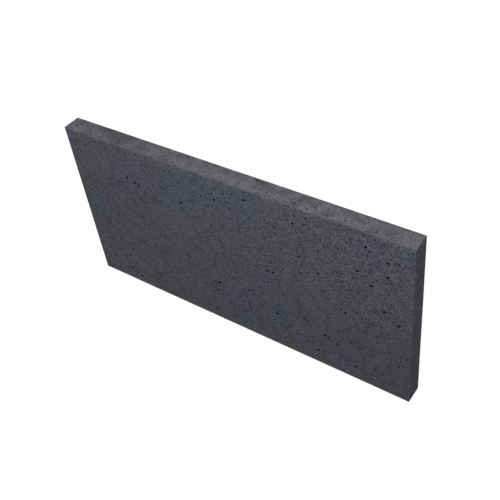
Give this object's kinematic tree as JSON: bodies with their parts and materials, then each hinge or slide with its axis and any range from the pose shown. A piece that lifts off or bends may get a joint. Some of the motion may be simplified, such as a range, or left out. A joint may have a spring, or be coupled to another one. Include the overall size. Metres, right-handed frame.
{
  "type": "concrete kerb stone",
  "caption": "Straight slab-shaped kerb stone of anthracite concrete with square butt ends and slightly rounded arrises, standing on its narrow foot to edge paving, beds and lawns.",
  "frame": {"origin": "middle of the foot, on the surface that the kerb stone stands on", "axes": "+X along the kerb line, +Y from the front face to the back face, +Z from the foot to the top"},
  "size_m": [1, 0.05, 0.5],
  "materials": {
    "anthracite_concrete": "matte"
  },
  "bodies": {
    "root": {"kerb_stone": "anthracite_concrete"}
  },
  "joints": []
}
